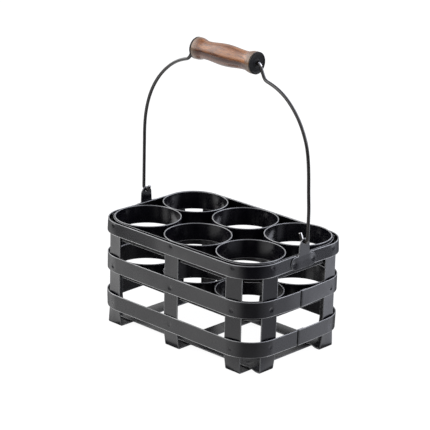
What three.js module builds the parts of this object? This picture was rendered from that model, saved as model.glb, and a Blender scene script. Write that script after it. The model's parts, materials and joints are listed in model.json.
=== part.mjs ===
// Six-bottle squeeze bottle rack: welded steel strip frame, wire bail and turned grip.
// Millimetres, +Z up, origin on the floor under the middle of the rack.
// X runs along the long side, Y across it.
import * as THREE from 'three';

// Clearance left between pieces that are welded together or slide on one another.
const GAP = 0.3;

// Outer bands: rounded rectangles of flat strip.
const BAND_HALF_X = 127.3;
const BAND_HALF_Y = 84.3;
const BAND_CORNER = 38;
const BAND_THICK = 1.3;
const BAND_LEVELS = {
  band_top: [113.3, 128.8],
  band_middle: [67.2, 86.9],
  band_bottom: [20.2, 39.6],
};
const CORNER_SEGMENTS = 7;
// The short sides aren't quite straight: this is how far their middles stand out (or in, if negative).
const BAND_BOWS = { band_top: -2, band_middle: 2.4, band_bottom: 1.8 };
const BOW_HALF_LENGTH = 40;
const BOW_POWER = 1.5;
const BOW_STEPS = 8;

// Bottle rings, three by two on two levels, each level wrapped by a liner.
const RING_DIAMETER = 79.1;
const RING_THICK = 1.4;
const RING_HEIGHT = 22.4;
const RING_TOPS = { top: 130.6, middle: 83.8 };
const RING_PITCH_X = 82.65;
const RING_PITCH_Y = 79.45;
const RING_SEGMENTS = 48;
const LINER_THICK = 0.8;
const LINER_GAP = 0.37;

// U-shaped straps: three cross the rack, two run along it.
const STRAP_THICK = 1.5;
const STRAP_WIDTH = 21.7;
const STRAP_TOP = 127.4;
const STRAP_BEND = 2.2;
const CROSS_STRAP_OFFSET = 96.35;
const CROSS_FOOT_HALF = 79.4;
const LONG_STRAP_OFFSET = 50.95;
const LONG_FOOT_HALF = 122.8;
// Long straps pass over the cross straps and step down to the floor near their ends.
const LONG_BASE_LIFT = STRAP_THICK + GAP;
const LONG_STEP_START = 4;
const LONG_STEP_LENGTH = 8;
// The legs stand straight up to the first height and follow the bands above the second.
const LEG_TURN_START = 5;
const LEG_TURN_END = 19.8;
const LEG_TURN_STEPS = 6;
const BEND_STEPS = 4;
// A little over the usual clearance, because the band's corners are cut into flats.
const STRAP_SEAT_GAP = 0.36;
const SEAT_PASSES = 20;

// Ear plates on the short sides of the top band.
const EAR_THICK = 1.5;
const EAR_BASE_WIDTH = 42;
const EAR_BASE_LOW = 113.6;
const EAR_BASE_HIGH = 128.6;
const EAR_TAB_LOW_WIDTH = 17.4;
const EAR_TAB_HIGH_WIDTH = 16.4;
const EAR_TOP = 148.5;
const EAR_HOLE_DIAMETER = 6.8;
const EAR_SEGMENTS = 8;
const HINGE_HEIGHT = 143.6;

// Bail wire, from its tail inside the ear to its root in the grip. Turns are in degrees.
const WIRE_RADIUS = 1.95;
const WIRE_SIDES = 12;
const TAIL_X = 120.6;
const TAIL_TOP = 151.6;
const TAIL_LEAN = 24;
const TAIL_BEND = 3.5;
const HOOK_BEND = 4;
const LEG_X = 131.5;
const LEG_TOP = 209;
const HIP_TURN = 17;
const HIP_RADIUS = 150;
const SHOULDER_TURN = 54;
const SHOULDER_RADIUS = 96;
const SHOULDER_RUN = 1.3;
const NECK_TURN = -43;
const NECK_RADIUS = 10;
const NECK_RUN = 11.6;
const ROOT_TURN = 62;
const ROOT_RADIUS = 5;

// Turned grip with an end cap on each side.
const GRIP_HEIGHT = 333.6;
const GRIP_LENGTH = 95;
const CAP_THICK = 2.2;
const GRIP_BORE_RADIUS = 2.5;
const GRIP_END_RADIUS = 12.85;
const GRIP_NECK_RADIUS = 10.6;
const GRIP_MIDDLE_RADIUS = 12.6;
const GRIP_NECK_X = 31;
const GRIP_RIM = 3;
const GRIP_SEGMENTS = 32;
const GRIP_STATIONS = 20;
const CAP_BEVEL = 0.7;
const CAP_DISH_DEPTH = 0.8;
const CAP_DISH_FLOOR = 1.6;

const blackSteel = () => new THREE.MeshStandardMaterial({ color: 0x1d1d20, metalness: 0.4, roughness: 0.45 });
const blackCap = () => new THREE.MeshStandardMaterial({ color: 0x17171a, metalness: 0.1, roughness: 0.5 });
const brownWood = () => new THREE.MeshStandardMaterial({ color: 0xa9764f, metalness: 0, roughness: 0.5 });

const group = new THREE.Group();
group.name = 'squeeze_bottle_rack';

function add(name, geometry, material) {
  const mesh = new THREE.Mesh(geometry, material);
  mesh.name = name;
  group.add(mesh);
}

// How far a bowed short side stands out at a place along it.
function bowAt(y, bow) {
  const place = y / BOW_HALF_LENGTH;
  return bow * Math.max(0, 1 - place * place) ** BOW_POWER;
}

// Traces one short side of a band, upwards on the right (side 1) and downwards on the left (-1).
function traceShortSide(path, side, halfX, bow) {
  for (let step = 0; step <= BOW_STEPS; step += 1) {
    const y = side * BOW_HALF_LENGTH * ((2 * step) / BOW_STEPS - 1);
    path.lineTo(side * (halfX + bowAt(y, bow)), y);
  }
}

// Traces a rounded rectangle centred on the origin, with bowed short sides if asked.
function roundedRectangle(path, halfX, halfY, radius, bow) {
  path.moveTo(halfX, halfY - radius);
  path.absarc(halfX - radius, halfY - radius, radius, 0, Math.PI / 2, false);
  path.absarc(radius - halfX, halfY - radius, radius, Math.PI / 2, Math.PI, false);
  if (bow !== 0) traceShortSide(path, -1, halfX, bow);
  path.absarc(radius - halfX, radius - halfY, radius, Math.PI, 1.5 * Math.PI, false);
  path.absarc(halfX - radius, radius - halfY, radius, 1.5 * Math.PI, 2 * Math.PI, false);
  if (bow !== 0) traceShortSide(path, 1, halfX, bow);
  return path;
}

function band(halfX, halfY, corner, thick, low, high, bow = 0) {
  const outline = roundedRectangle(new THREE.Shape(), halfX, halfY, corner, bow);
  const inside = roundedRectangle(new THREE.Path(), halfX - thick, halfY - thick, corner - thick, bow);
  outline.holes.push(inside);
  const options = { depth: high - low, bevelEnabled: false, curveSegments: CORNER_SEGMENTS };
  const geometry = new THREE.ExtrudeGeometry(outline, options);
  return geometry.translate(0, 0, low);
}

// Revolves a closed profile of [radius, height] pairs about Z.
function lathe(profile, segments) {
  const points = profile.map(([radius, height]) => new THREE.Vector2(radius, height));
  points.push(points[0].clone());
  return new THREE.LatheGeometry(points, segments).rotateX(Math.PI / 2);
}

function ring(x, y, top) {
  const outside = RING_DIAMETER / 2;
  const inside = outside - RING_THICK;
  const low = top - RING_HEIGHT;
  const profile = [[inside, low], [outside, low], [outside, top], [inside, top]];
  return lathe(profile, RING_SEGMENTS).translate(x, y, 0);
}

// Distance across the rack to the line a strap may touch inside the bands, at a place along it.
function bandInside(along, halfAlong, halfAcross) {
  const radius = BAND_CORNER - BAND_THICK - STRAP_SEAT_GAP;
  const beyond = Math.max(0, along - (halfAlong - BAND_CORNER));
  return halfAcross - BAND_CORNER + Math.sqrt(radius * radius - beyond * beyond);
}

// A flat leg lies as a chord inside the bands: its middle there and its turn about Z.
function legSeat(offset, halfAlong, halfAcross) {
  if (offset === 0) {
    return { along: 0, across: bandInside(0, halfAlong, halfAcross), turn: 0 };
  }
  const near = offset - STRAP_WIDTH / 2;
  const nearAcross = bandInside(near, halfAlong, halfAcross);
  let turn = 0;
  for (let pass = 0; pass < SEAT_PASSES; pass += 1) {
    const far = near + STRAP_WIDTH * Math.cos(turn);
    turn = Math.asin((nearAcross - bandInside(far, halfAlong, halfAcross)) / STRAP_WIDTH);
  }
  const along = near + (STRAP_WIDTH / 2) * Math.cos(turn);
  const across = nearAcross - (STRAP_WIDTH / 2) * Math.sin(turn);
  return { along, across, turn };
}

// Stations on the outer face of one half of a strap, from the floor run up to the leg's top.
// "tilt" is the angle the strap has turned up from lying flat.
function strapStations(footHalf, lift) {
  const centre = footHalf - STRAP_BEND;
  const stations = [];
  if (lift > 0) {
    stations.push({ across: centre - LONG_STEP_START - LONG_STEP_LENGTH, height: lift, tilt: 0 });
    stations.push({ across: centre - LONG_STEP_START, height: 0, tilt: 0 });
  }
  for (let step = 0; step <= BEND_STEPS; step += 1) {
    const tilt = (step / BEND_STEPS) * (Math.PI / 2);
    const height = STRAP_BEND * (1 - Math.cos(tilt));
    stations.push({ across: centre + STRAP_BEND * Math.sin(tilt), height, tilt });
  }
  for (let step = 0; step <= LEG_TURN_STEPS; step += 1) {
    const height = THREE.MathUtils.lerp(LEG_TURN_START, LEG_TURN_END, step / LEG_TURN_STEPS);
    stations.push({ across: footHalf, height, tilt: Math.PI / 2 });
  }
  stations.push({ across: footHalf, height: STRAP_TOP, tilt: Math.PI / 2 });
  return stations;
}

// A U-shaped strap running across Y at x = offset: a flat section carried through its stations.
function strap(offset, footHalf, halfAlong, halfAcross, lift) {
  const half = strapStations(footHalf, lift).map((station) => ({ ...station, end: 1 }));
  const stations = [...half.map((station) => ({ ...station, end: -1 })).reverse(), ...half];
  const section = new THREE.Shape();
  section.moveTo(-STRAP_WIDTH / 2, 0);
  section.lineTo(STRAP_WIDTH / 2, 0);
  section.lineTo(STRAP_WIDTH / 2, STRAP_THICK);
  section.lineTo(-STRAP_WIDTH / 2, STRAP_THICK);
  const steps = stations.length - 1;
  const geometry = new THREE.ExtrudeGeometry(section, { depth: steps, steps, bevelEnabled: false });
  const seat = legSeat(Math.abs(offset), halfAlong, halfAcross);
  const side = offset < 0 ? -1 : 1;
  const position = geometry.attributes.position;
  for (let index = 0; index < position.count; index += 1) {
    const sideways = -side * position.getX(index);
    const depth = position.getY(index);
    const { across, height, tilt, end } = stations[Math.round(position.getZ(index))];
    const rise = THREE.MathUtils.smoothstep(height, LEG_TURN_START, LEG_TURN_END);
    const turn = seat.turn * rise;
    const middle = THREE.MathUtils.lerp(Math.abs(offset), seat.along, rise);
    const inward = depth * Math.sin(tilt);
    const x = middle + sideways * Math.cos(turn) - inward * Math.sin(turn);
    const lean = (seat.across - footHalf) * rise;
    const y = across + lean - sideways * Math.sin(turn) - inward * Math.cos(turn);
    position.setXYZ(index, side * x, end * y, height + depth * Math.cos(tilt));
  }
  geometry.computeVertexNormals();
  return geometry;
}

// Ear plate in the YZ plane: an oblong base on the band and a tapered tab with the bail hole.
function ear(side) {
  const shape = new THREE.Shape();
  const baseRadius = (EAR_BASE_HIGH - EAR_BASE_LOW) / 2;
  const baseMiddle = EAR_BASE_LOW + baseRadius;
  const baseEnd = EAR_BASE_WIDTH / 2 - baseRadius;
  const tabRadius = EAR_TAB_HIGH_WIDTH / 2;
  shape.absarc(-baseEnd, baseMiddle, baseRadius, Math.PI / 2, 1.5 * Math.PI, false);
  shape.absarc(baseEnd, baseMiddle, baseRadius, -Math.PI / 2, Math.PI / 2, false);
  shape.lineTo(EAR_TAB_LOW_WIDTH / 2, EAR_BASE_HIGH);
  shape.absarc(0, EAR_TOP - tabRadius, tabRadius, 0, Math.PI, false);
  shape.lineTo(-EAR_TAB_LOW_WIDTH / 2, EAR_BASE_HIGH);
  const hole = new THREE.Path();
  hole.absarc(0, HINGE_HEIGHT, EAR_HOLE_DIAMETER / 2, 0, 2 * Math.PI, true);
  shape.holes.push(hole);
  const options = { depth: EAR_THICK, bevelEnabled: false, curveSegments: EAR_SEGMENTS };
  const geometry = new THREE.ExtrudeGeometry(shape, options);
  geometry.rotateX(Math.PI / 2).rotateZ(Math.PI / 2);
  const inner = BAND_HALF_X + bowAt(EAR_BASE_WIDTH / 2, BAND_BOWS.band_top) + GAP;
  return geometry.translate(side > 0 ? inner : -inner - EAR_THICK, 0, 0);
}

// A path through given stations, passed on to the extrusion one by one.
class StationPath extends THREE.Curve {
  constructor(stations) {
    super();
    this.stations = stations;
  }

  getPoint(t, target = new THREE.Vector3()) {
    const place = t * (this.stations.length - 1);
    const first = Math.min(Math.floor(place), this.stations.length - 2);
    return target.lerpVectors(this.stations[first], this.stations[first + 1], place - first);
  }

  getUtoTmapping(u) {
    return u;
  }
}

// Walks a line in the XZ plane: each move goes straight, or turns by degrees on a radius.
function walk(startX, startZ, heading, moves) {
  const points = [[startX, startZ]];
  let [x, z, angle] = [startX, startZ, THREE.MathUtils.degToRad(heading)];
  for (const { go = 0, turn = 0, radius = 0, steps = 1 } of moves) {
    const bend = THREE.MathUtils.degToRad(turn) / steps;
    const stride = turn === 0 ? go : 2 * radius * Math.sin(Math.abs(bend) / 2);
    for (let step = 0; step < steps; step += 1) {
      angle += bend / 2;
      x += stride * Math.cos(angle);
      z += stride * Math.sin(angle);
      angle += bend / 2;
      points.push([x, z]);
    }
  }
  return points;
}

// Half of the bail from the tail's end to the grip: tail, hook through the ear, leg,
// hip and shoulder, and the goose neck that rises to the grip's axis.
function bailHalf() {
  const lean = THREE.MathUtils.degToRad(TAIL_LEAN);
  const tailRise = TAIL_TOP - HINGE_HEIGHT - TAIL_BEND * (1 - Math.sin(lean));
  const tailWidth = tailRise * Math.tan(lean) + TAIL_BEND * Math.cos(lean);
  return walk(TAIL_X, TAIL_TOP, TAIL_LEAN - 90, [
    { go: tailRise / Math.cos(lean) },
    { turn: 90 - TAIL_LEAN, radius: TAIL_BEND, steps: 6 },
    { go: LEG_X - HOOK_BEND - TAIL_X - tailWidth },
    { turn: 90, radius: HOOK_BEND, steps: 6 },
    { go: LEG_TOP - HINGE_HEIGHT - HOOK_BEND },
    { turn: HIP_TURN, radius: HIP_RADIUS, steps: 4 },
    { turn: SHOULDER_TURN, radius: SHOULDER_RADIUS, steps: 11 },
    { go: SHOULDER_RUN },
    { turn: NECK_TURN, radius: NECK_RADIUS, steps: 5 },
    { go: NECK_RUN },
    { turn: ROOT_TURN, radius: ROOT_RADIUS, steps: 6 },
  ]);
}

function bail() {
  const half = bailHalf();
  const right = half.map(([x, z]) => new THREE.Vector3(x, 0, z));
  right[right.length - 1].z = GRIP_HEIGHT;
  const left = right.map((point) => new THREE.Vector3(-point.x, 0, point.z)).reverse();
  const stations = [...right, ...left];
  const section = new THREE.Shape();
  section.absarc(0, 0, WIRE_RADIUS, 0, 2 * Math.PI, false);
  return new THREE.ExtrudeGeometry(section, {
    extrudePath: new StationPath(stations),
    steps: stations.length - 1,
    curveSegments: WIRE_SIDES / 2,
    bevelEnabled: false,
  });
}

// Radius of the grip: a swelling in the middle, a neck on each side and flared ends.
function gripRadius(x) {
  const half = GRIP_LENGTH / 2 - CAP_THICK;
  const place = Math.abs(x);
  if (place < GRIP_NECK_X) {
    const wave = (1 + Math.cos((Math.PI * place) / GRIP_NECK_X)) / 2;
    return GRIP_NECK_RADIUS + (GRIP_MIDDLE_RADIUS - GRIP_NECK_RADIUS) * wave;
  }
  const flare = Math.min(1, (place - GRIP_NECK_X) / (half - GRIP_RIM - GRIP_NECK_X));
  const wave = (1 - Math.cos(Math.PI * flare)) / 2;
  return GRIP_NECK_RADIUS + (GRIP_END_RADIUS - GRIP_NECK_RADIUS) * wave;
}

function grip() {
  const half = GRIP_LENGTH / 2 - CAP_THICK;
  const profile = [[GRIP_BORE_RADIUS, -half]];
  for (let step = 0; step <= GRIP_STATIONS; step += 1) {
    const x = -half + (2 * half * step) / GRIP_STATIONS;
    profile.push([gripRadius(x), x]);
  }
  profile.push([GRIP_BORE_RADIUS, half]);
  return lathe(profile, GRIP_SEGMENTS).rotateY(Math.PI / 2).translate(0, 0, GRIP_HEIGHT);
}

function gripCap(side) {
  const low = GRIP_LENGTH / 2 - CAP_THICK + GAP;
  const high = GRIP_LENGTH / 2;
  const profile = [
    [GRIP_BORE_RADIUS, low],
    [GRIP_END_RADIUS, low],
    [GRIP_END_RADIUS, high - CAP_BEVEL],
    [GRIP_END_RADIUS - CAP_BEVEL, high],
    [GRIP_BORE_RADIUS + CAP_DISH_FLOOR, high - CAP_DISH_DEPTH],
    [GRIP_BORE_RADIUS, high - CAP_DISH_DEPTH],
  ];
  return lathe(profile, GRIP_SEGMENTS).rotateY((side * Math.PI) / 2).translate(0, 0, GRIP_HEIGHT);
}

for (const [name, [low, high]] of Object.entries(BAND_LEVELS)) {
  const geometry = band(BAND_HALF_X, BAND_HALF_Y, BAND_CORNER, BAND_THICK, low, high, BAND_BOWS[name]);
  add(name, geometry, blackSteel());
}

const linerCorner = RING_DIAMETER / 2 + LINER_GAP + LINER_THICK;
for (const [level, top] of Object.entries(RING_TOPS)) {
  const halfX = RING_PITCH_X + linerCorner;
  const halfY = RING_PITCH_Y / 2 + linerCorner;
  add(`liner_${level}`, band(halfX, halfY, linerCorner, LINER_THICK, top - RING_HEIGHT, top), blackSteel());
  let number = 1;
  for (const row of [-0.5, 0.5]) {
    for (const column of [-1, 0, 1]) {
      add(`ring_${level}_${number}`, ring(column * RING_PITCH_X, row * RING_PITCH_Y, top), blackSteel());
      number += 1;
    }
  }
}

for (const [name, place] of [['left', -1], ['middle', 0], ['right', 1]]) {
  const geometry = strap(place * CROSS_STRAP_OFFSET, CROSS_FOOT_HALF, BAND_HALF_X, BAND_HALF_Y, 0);
  add(`strap_cross_${name}`, geometry, blackSteel());
}
for (const [name, place] of [['front', -1], ['back', 1]]) {
  const geometry = strap(place * LONG_STRAP_OFFSET, LONG_FOOT_HALF, BAND_HALF_Y, BAND_HALF_X, LONG_BASE_LIFT);
  add(`strap_long_${name}`, geometry.rotateZ(Math.PI / 2), blackSteel());
}

for (const [name, side] of [['left', -1], ['right', 1]]) {
  add(`ear_${name}`, ear(side), blackSteel());
  add(`grip_cap_${name}`, gripCap(side), blackCap());
}
add('bail', bail(), blackSteel());
add('grip', grip(), brownWood());

export default group;
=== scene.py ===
"""Squeeze bottle rack: black coated strip steel, wire bail, turned wood grip.

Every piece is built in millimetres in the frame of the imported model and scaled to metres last.
"""
import json
from math import asin, atan, ceil, copysign, cos, exp, hypot, pi, radians, sin, sqrt, tan

import bmesh
import bpy
import numpy as np
from mathutils import Matrix, Vector
from mathutils.geometry import delaunay_2d_cdt


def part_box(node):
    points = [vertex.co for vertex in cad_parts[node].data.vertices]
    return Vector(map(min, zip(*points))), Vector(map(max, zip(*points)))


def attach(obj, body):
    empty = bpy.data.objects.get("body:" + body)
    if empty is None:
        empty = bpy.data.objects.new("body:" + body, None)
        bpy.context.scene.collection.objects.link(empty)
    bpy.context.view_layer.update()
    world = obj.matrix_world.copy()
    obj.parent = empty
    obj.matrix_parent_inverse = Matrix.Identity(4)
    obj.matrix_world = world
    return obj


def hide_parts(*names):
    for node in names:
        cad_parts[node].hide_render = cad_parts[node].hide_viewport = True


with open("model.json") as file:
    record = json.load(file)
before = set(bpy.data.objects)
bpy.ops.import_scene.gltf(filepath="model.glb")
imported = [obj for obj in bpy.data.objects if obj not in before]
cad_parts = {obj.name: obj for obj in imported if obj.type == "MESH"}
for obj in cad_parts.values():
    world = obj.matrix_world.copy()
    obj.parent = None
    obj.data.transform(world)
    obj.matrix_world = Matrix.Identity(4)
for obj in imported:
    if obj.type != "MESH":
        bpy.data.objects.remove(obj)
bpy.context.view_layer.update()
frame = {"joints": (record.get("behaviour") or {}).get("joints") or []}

MM = 0.001
TINY = 1e-6


def box_mm(node):
    """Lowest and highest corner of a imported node, in millimetres."""
    low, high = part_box(node)
    return low / MM, high / MM


def joint_height(name):
    """Height of a joint's axis, in millimetres."""
    joint = next(joint for joint in frame["joints"] if joint["name"] == name)
    return joint["pos_m"][2] / MM


def by_band(*values):
    """Values for the top, the middle and the bottom band."""
    return dict(zip(BAND_NAMES, values))


# The photograph's viewpoint: a pinhole camera that looks down a little onto the near corner.
CAMERA_AZIMUTH = 43.582
CAMERA_ELEVATION = 18.841
CAMERA_DISTANCE = 2193.974
CAMERA_TARGET_HEIGHT = 143.0
CAMERA_SIDESTEP = -8.632
CAMERA_ROLL = 1.482
CAMERA_LENS = 158.27
SENSOR_WIDTH = 36.0
CLIP_NEAR = 0.05
CLIP_FAR = 60.0

# Outer bands.
BAND_NAMES = ("band_top", "band_middle", "band_bottom")
BAND_HALF_X = box_mm("band_top")[1].x
BAND_HALF_Y = box_mm("band_top")[1].y
BAND_CORNER = 38.0
BAND_THICK = 1.3
BAND_EDGE = 0.62
BAND_STEP = 3.2
BAND_ROW_STEP = 2.2
NEAREST_STEPS = 2000
# How far the middles of the short sides stand out.
BAND_BOWS = by_band(-1.0, 1.9, 1.2)
BOW_HALF_LENGTH = 52.0
BOW_POWER = 1.5
# Outward lean in degrees, which grows over a range of X at both ends and over another on the left.
BAND_LEANS = by_band(3.0, 0.0, -1.5)
LEAN_RANGE = (90.0, 120.0)
LEFT_LEAN_RANGE = (5.0, 35.0)
TOP_BAND_LIFT = 0.9
LIFT_RANGE = (85.0, 120.0)
# The strip is faintly wavy along its length.
BAND_WAVE = 0.12
WAVE_LONG = 53.0
WAVE_MIDDLE = 31.0
WAVE_SHORT = 19.0
WAVE_ACROSS = 9.0
WAVE_SHORT_SHARE = 0.6
WAVE_FADE = 20.0
BAND_PHASES = by_band(0.4, 2.1, 4.0)
# Each band is closed by a butt seam. Two of them have a lap behind it.
SEAM_PLACES = by_band(-10.0, -4.0, -6.2)
SEAM_WIDTH = 1.5
LAP_LENGTH = 12.0
LAP_DIVE = 1.6
LAP_GAP = 0.06
LAP_STEPS = 12

# Rings and the liners round them.
RING_LEVELS = ("top", "middle")
RING_COUNT = 6
RING_RADIUS = (box_mm("ring_top_1")[1].x - box_mm("ring_top_1")[0].x) / 2
RING_THICK = 1.4
RING_EDGE = 0.6
RING_SIDES = 96
RING_ROW_STEP = 3.0
LINER_THICK = 0.8
LINER_EDGE = 0.3
LINER_STEP = 3.0
LINER_ROW_STEP = 4.0
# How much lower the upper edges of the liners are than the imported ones, and how much higher the lower.
LINER_DROPS = {"top": 1.1, "middle": 0.0}
LINER_TRIMS = {"top": 0.0, "middle": 1.5}
# The rings aren't quite alike: how much higher the upper and the lower edge of some are than packed.
RING_RISES = {
    "top_2": (-1.3, 0.0), "top_3": (0.3, 0.0), "top_6": (1.9, 1.2),
    "middle_1": (0.0, 1.5), "middle_2": (0.4, -0.5), "middle_3": (1.4, 1.7),
    "middle_4": (0.0, 0.4), "middle_5": (0.0, 1.6), "middle_6": (1.5, 2.4),
}

# Straps.
STRAP_THICK = 1.5
STRAP_WIDTH = 21.7
STRAP_TOP = box_mm("strap_cross_middle")[1].z
STRAP_BEND = 2.2
STRAP_EDGE = 0.6
CROSS_STRAP_OFFSET = 96.35
CROSS_FOOT_HALF = 79.4
LONG_STRAP_OFFSET = 50.95
LONG_FOOT_HALF = 122.8
LONG_BASE_LIFT = 1.8
# The long straps step down to the floor this far before their bends.
STEP_START = 4.0
STEP_LENGTH = 8.0
# The legs turn towards the rounded corners between these heights.
LEG_TURN_START = 1.0
LEG_TURN_END = 19.8
STRAP_SEAT_GAP = 0.36
SEAT_PASSES = 20
STRAP_STEP = 6.0
STRAP_ROW_STEP = 3.2
STEP_FINE = 1.0
BEND_FINE = 0.45
TURN_FINE = 1.6
SLOPE_STEP = 0.1

# Ear plates. Leans are in degrees.
EAR_THICK = 1.5
EAR_EDGE = 0.4
EAR_BASE_WIDTH = 2 * box_mm("ear_right")[1].y
EAR_BASE_LOW = box_mm("ear_right")[0].z
EAR_TOP = box_mm("ear_right")[1].z
EAR_BASE_HIGH = 128.6
EAR_BASE_MIDDLE = (EAR_BASE_LOW + EAR_BASE_HIGH) / 2
EAR_TAB_LOW_WIDTH = 17.4
EAR_TAB_HIGH_WIDTH = 16.4
EAR_FOOT_FILLET = 1.6
EAR_HOLE_RADIUS = 2.3
EAR_TAB_LEAN = 0.9
EAR_END_THIN = 0.6
LEFT_EAR_TRIM = 1.3
EAR_SEAT = 0.25
EAR_MARK_Y = 15.2
EAR_GRID = 0.95
EAR_ARC_STEP = 0.7
EAR_FILLET_STEP = 0.4
EAR_SIDE_STEP = 0.9
# Rows beside an outline, as shares of the rounded edge, kept where no other outline is much nearer.
EAR_ROW_SHARES = (0.13, 0.5, 1.0, 1.5)
EAR_ROW_CLEAR = 0.93
EAR_WORN_AND_HIGHLIT_INSET = 0.01

# Bail wire. Turns are in degrees.
WIRE_RADIUS = 1.95
WIRE_SIDES = 20
WIRE_END_EDGE = 0.5
WIRE_STEP = 4.0
HINGE_HEIGHT = joint_height("bail_swing")
TAIL_X = 120.6
TAIL_TOP = 151.6
RIGHT_TAIL_RISE = 1.2
LEFT_TAIL_RISE = -2.0
TAIL_LEAN = 24.0
TAIL_BEND = 3.5
HOOK_BEND = 4.0
LEG_X = box_mm("bail")[1].x - WIRE_RADIUS
LEG_TOP = 209.0
SHOULDER_RUN = 1.3
NECK_RUN = 11.6
# Its bends as (turn, radius, steps).
HOOK = (90.0, HOOK_BEND, 14)
HIP = (17.0, 150.0, 12)
SHOULDER = (54.0, 96.0, 33)
NECK = (-43.0, 10.0, 14)
ROOT = (62.0, 5.0, 16)
TAIL_STEPS = 12
GRIP_RUN_X = (44.0, 0.0, -44.0)
# The wire is bent by hand and uneven. Each bump is (middle, reach, shift): outward by height, upward by X.
RIGHT_OUT_BUMPS = ((218.0, 42.0, -1.95), (290.0, 30.0, 0.75))
RIGHT_UP_BUMPS = ((78.0, 30.0, 1.45),)
LEFT_OUT_BUMPS = ((272.0, 55.0, 1.6), (235.0, 28.0, 0.5))
LEFT_UP_BUMPS = ((92.0, 30.0, 1.55),)
# The necks rise where X grows over the first range, and fall back where it grows over the second.
NECK_RISE_RANGE = (49.0, 57.0)
NECK_FADE_RANGE = (66.0, 100.0)
RIGHT_NECK_RISE = -1.5
LEFT_NECK_RISE = 1.4
# Bare metal: the wire's cut ends, and as a painted highlight the outer side of its tails and its right side
# beside the grip. Each share of the radius says how far out from the axis the bare side begins.
TIP_X = 124.0
TIP_RANGE = (-0.25, 2.0)
TAIL_SIDE_X = 125.5
TAIL_BARE_HIGHLIGHT_SHARE = 0.86
ROOT_BARE_HIGHLIGHT = (49.0, 54.0)
ROOT_LOW = 2 * HINGE_HEIGHT
ROOT_BARE_HIGHLIGHT_SHARE = 0.75

# Grip and its caps.
GRIP_HEIGHT = joint_height("grip_spin")
GRIP_LENGTH = 95.0
CAP_THICK = 2.2
CAP_GAP = 0.3
WOOD_HALF = GRIP_LENGTH / 2 - CAP_THICK
GRIP_BORE_RADIUS = 2.5
GRIP_END_RADIUS = 12.85
GRIP_NECK_RADIUS = 10.6
GRIP_MIDDLE_RADIUS = 12.6
GRIP_NECK_X = 31.0
GRIP_RIM = 3.0
GRIP_SIDES = 96
GRIP_STATIONS = 180
GRIP_END_BEVEL = 0.4
# Tool marks of the lathe as (height, waves in radians per millimetre, phase).
TOOL_MARKS = ((0.02, 5.1, 0.0), (0.015, 2.3, 1.0))
CAP_BEVEL = 0.3
CAP_ROUND = 0.6
# The moulded face of a cap as (depth, distance in from the rim), then as (depth, distance from the bore).
CAP_RIM_FACE = ((0.0, 1.3), (0.12, 1.7), (0.5, 2.3), (0.62, 3.2))
CAP_BORE_FACE = ((0.75, 3.5), (0.7, 2.4), (0.35, 1.7), (0.25, 1.0), (0.4, 0.2), (0.6, 0.0))

# Weld marks: shallow round dents with a wider, softer hollow around each.
MARK_RADIUS = 2.3
MARK_DEPTH = 0.42
HOLLOW_RADIUS = 5.5
HOLLOW_DEPTH = 0.16
HOLLOW_END = 2.5 * HOLLOW_RADIUS
MARK_REACH = 7.5
MARK_STEP = 0.75
MARK_MERGE = 0.4 * MARK_STEP
MARK_LIFTS_LONG = by_band(4.8, -2.0, -0.4)
MARK_LIFTS_SHORT = by_band(3.2, -1.1, 1.2)
MARK_SHARES = by_band(0.9, 1.0, 0.5)
RING_MARK_SHARE = 0.35
EDGE_STEPS = 4

# The edge of the floor never shows. Reflections see, instead of the floor under and behind the rack, a dark
# sheet
# there: painted shade for the rack's shadow on the floor.
FLOOR_HALF = 12.0
SHADE_MARGIN = 2.0
SHADE_BEHIND = 150.0
SHADE_DEPTH = 1.0
SHADE_SIDES = 64

# Mesh attribute: where the paint is thin, and how thin it is on the edges. It also paints a highlight along
# the
# edges: more on the lower edges than on the upper ones, and less round the corners.
WEAR_AND_HIGHLIGHT = "wear_and_highlight"
LOWER_EDGE_WEAR_AND_HIGHLIGHT = 1.0
UPPER_EDGE_WEAR_AND_HIGHLIGHT = 0.5
CORNER_EDGE_WEAR_AND_HIGHLIGHT = 0.2
CORNER_RANGE = (0.1, 0.5)
STRAP_WEAR_AND_HIGHLIGHT = 0.5
FOOT_WEAR_AND_HIGHLIGHT = 0.25
CUT_END_WEAR_AND_HIGHLIGHT = 0.12

# Colours, and stops of colour ramps as (place, colour).
# Light grey of paint rubbed thin on the edges, which also serves as their painted highlight.
WORN_AND_HIGHLIGHT_TONE = (0.4, 0.4, 0.405)
STEEL_TONES = [(0.3, (0.32, 0.31, 0.30)), (0.7, (0.62, 0.61, 0.60))]
CAP_TONES = [(0.3, (0.004, 0.004, 0.0045)), (0.7, (0.009, 0.009, 0.0095))]
WOOD_TONES = [
    (0.28, (0.045, 0.015, 0.005)),
    (0.42, (0.12, 0.041, 0.012)),
    (0.56, (0.205, 0.079, 0.025)),
    (0.74, (0.32, 0.137, 0.048)),
]
PORE_TONES = [(0.36, (0.45, 0.38, 0.32)), (0.5, (1.0, 1.0, 1.0))]
BLOTCH_TONES = [(0.35, (0.7, 0.62, 0.55)), (0.6, (1.1, 1.08, 1.05))]
# A dark band along the grip, by its angle about the grip above the front, in radians: partly the wood's own
# figure, partly painted shade where the grip reflects and receives little light.
STREAK_AND_SHADE_TONES = [
    (0.0, (0.52, 0.4, 0.32)),
    (0.3, (0.2, 0.12, 0.1)),
    (0.6, (0.18, 0.11, 0.09)),
    (1.0, (1.0, 1.0, 1.0)),
]
STREAK_ANGLE = -0.14
STREAK_HALF = 0.2
STREAK_WANDER = 0.1
# How far the streak falls along the grip, in radians per metre.
STREAK_FALL = 2.5
# The paler ends of the wood, by the distance from its middle.
END_TONE = (0.11, 0.085, 0.06)
END_PALE_START = 36.0
END_PALE_FULL = 44.0
END_PALE_SHARE = 0.65


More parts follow.
